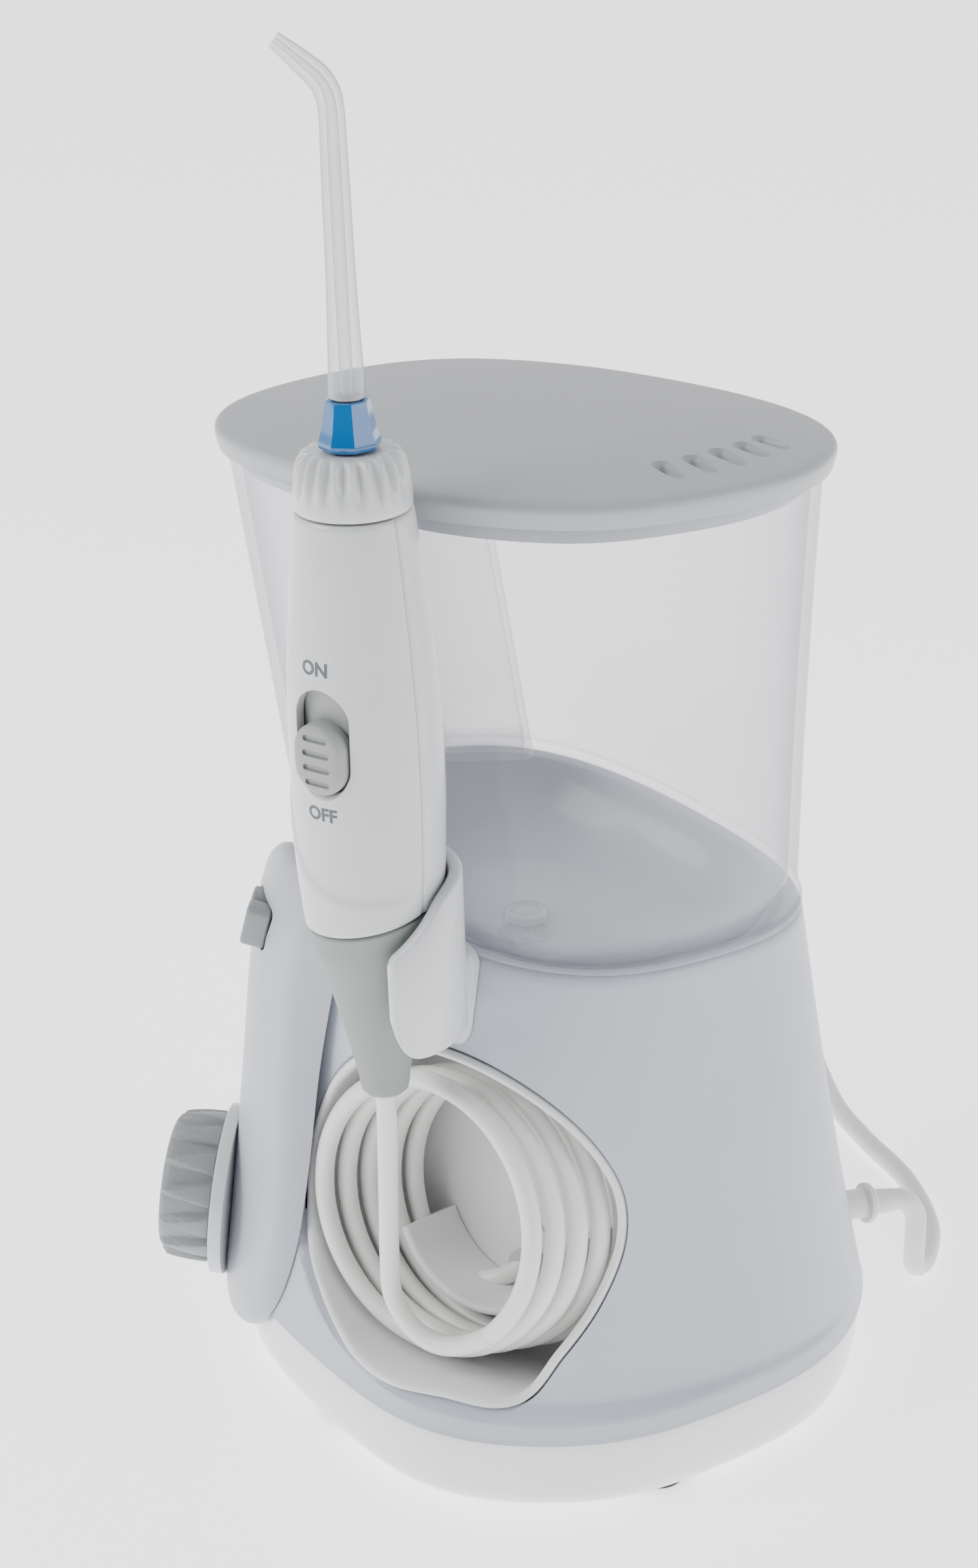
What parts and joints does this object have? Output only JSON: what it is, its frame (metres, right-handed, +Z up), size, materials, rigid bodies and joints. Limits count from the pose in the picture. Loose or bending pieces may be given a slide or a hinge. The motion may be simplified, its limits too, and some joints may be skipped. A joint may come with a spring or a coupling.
{
  "type": "water flosser",
  "caption": "Countertop water flosser with a lift-off clear reservoir and lid, angled jet tip on a handle in its cradle, coiled hose, pressure knob and mains lead.",
  "frame": {"origin": "Centre of the footprint of the flosser without its mains lead, at the plane its feet stand on.", "axes": "+Z up, -Y out of the control panel and knob, +X out of the hose and handle side."},
  "size_m": [0.204, 0.1593, 0.2648],
  "materials": {
    "housing_plastic": "satin",
    "tub_plastic": "gloss",
    "panel_plastic": "satin",
    "knob_plastic": "satin",
    "clear_plastic": "gloss",
    "lid_plastic": "satin",
    "handle_plastic": "satin",
    "cone_plastic": "matte",
    "blue_plastic": "gloss",
    "hose_rubber": "satin",
    "foot_rubber": "matte",
    "steel": "satin",
    "brass": "satin",
    "board": "satin",
    "inner_plastic": "satin",
    "cord_rubber": "matte"
  },
  "bodies": {
    "base": {"main_housing": "housing_plastic", "bottom_tub": "tub_plastic", "foot_rear_right": "foot_rubber", "foot_front_right": "foot_rubber", "foot_front_left": "foot_rubber", "foot_rear_left": "foot_rubber", "base_screw_1": "steel", "base_screw_2": "steel", "base_screw_3": "steel", "base_screw_4": "steel", "hose_well": "inner_plastic", "hose_hub": "inner_plastic", "hose_connector": "inner_plastic", "control_panel": "panel_plastic", "knob_ring": "tub_plastic", "pressure_valve": "inner_plastic", "handle_cradle": "handle_plastic", "hose_coil": "hose_rubber", "seat_port": "foot_rubber", "pump_frame": "inner_plastic", "gear_axle": "steel", "motor": "steel", "pump_cylinder": "inner_plastic", "pump_head": "inner_plastic", "inlet_tube": "inner_plastic", "outlet_tube": "inner_plastic", "circuit_board": "board", "power_gland": "cord_rubber", "strain_relief": "cord_rubber", "cord_lead": "cord_rubber", "cord_coil": "cord_rubber", "plug_body": "cord_rubber", "plug_blade_a": "brass", "plug_blade_b": "brass"},
    "knob": {"pressure_knob": "knob_plastic", "valve_stem": "brass"},
    "power_key": {"power_button": "knob_plastic"},
    "mode_key": {"mode_button": "knob_plastic"},
    "gear": {"drive_gear": "inner_plastic", "crank_pin": "steel"},
    "pinion": {"motor_pinion": "brass"},
    "piston": {"pump_piston": "inner_plastic"},
    "rod": {"connecting_rod": "steel"},
    "tank": {"reservoir": "clear_plastic", "tip_tray": "clear_plastic"},
    "drain_valve": {"reservoir_valve": "clear_plastic"},
    "cover": {"lid": "lid_plastic"},
    "handpiece": {"handle_front_shell": "handle_plastic", "handle_rear_shell": "handle_plastic", "hose_cone": "cone_plastic", "handle_core": "inner_plastic", "hose_run": "hose_rubber"},
    "slider": {"flow_slider": "cone_plastic"},
    "rotator": {"tip_rotator": "handle_plastic"},
    "tip": {"tip_collar": "blue_plastic", "jet_tip": "clear_plastic"}
  },
  "joints": [
    {"name": "knob_turn", "type": "hinge", "parent": "base", "child": "knob", "pos_m": [-0.0016, -0.05825, 0.0319], "axis": [0, -0.9962, 0.0872], "range_deg": [-135, 135]},
    {"name": "power_press", "type": "slide", "parent": "base", "child": "power_key", "axis": [0, 0.9703, -0.2419], "range_m": [0, 0.0008], "stiffness_N_per_m": 250},
    {"name": "mode_press", "type": "slide", "parent": "base", "child": "mode_key", "axis": [0, 0.9703, -0.2419], "range_m": [0, 0.0008], "stiffness_N_per_m": 250},
    {"name": "gear_spin", "type": "hinge", "parent": "base", "child": "gear", "pos_m": [-0.0236, 0.02235, 0.055], "axis": [0, 0, 1], "continuous": true},
    {"name": "pinion_spin", "type": "hinge", "parent": "base", "child": "pinion", "pos_m": [-0.00864, 0.0373, 0.055], "axis": [0, 0, 1], "continuous": true},
    {"name": "piston_stroke", "type": "slide", "parent": "base", "child": "piston", "axis": [0, -1, 0], "range_m": [0, 0.008]},
    {"name": "rod_swing", "type": "hinge", "parent": "piston", "child": "rod", "pos_m": [-0.0236, -0.00965, 0.0616], "axis": [0, 0, 1], "range_deg": [-7, 7]},
    {"name": "tank_lift", "type": "slide", "parent": "base", "child": "tank", "axis": [0, 0, 1], "range_m": [0, 0.06]},
    {"name": "drain_lift", "type": "slide", "parent": "tank", "child": "drain_valve", "axis": [0, 0, 1], "range_m": [0, 0.002], "stiffness_N_per_m": 60},
    {"name": "lid_lift", "type": "slide", "parent": "tank", "child": "cover", "axis": [0, 0, 1], "range_m": [0, 0.04]},
    {"name": "handle_lift", "type": "slide", "parent": "base", "child": "handpiece", "axis": [0.0948, -0.0792, 0.9923], "range_m": [0, 0.045]},
    {"name": "flow_slide", "type": "slide", "parent": "handpiece", "child": "slider", "axis": [0.0027, -0.0304, 0.9995], "range_m": [0, 0.005]},
    {"name": "tip_turn", "type": "hinge", "parent": "handpiece", "child": "rotator", "pos_m": [0.03941, -0.02478, 0.19366], "axis": [0.0027, -0.0304, 0.9995], "continuous": true},
    {"name": "tip_pull", "type": "slide", "parent": "rotator", "child": "tip", "axis": [0.0027, -0.0304, 0.9995], "range_m": [0, 0.03]}
  ],
  "couplings": [
    {"joint": "pinion_spin", "follows": "gear_spin", "ratio": -3.2}
  ]
}
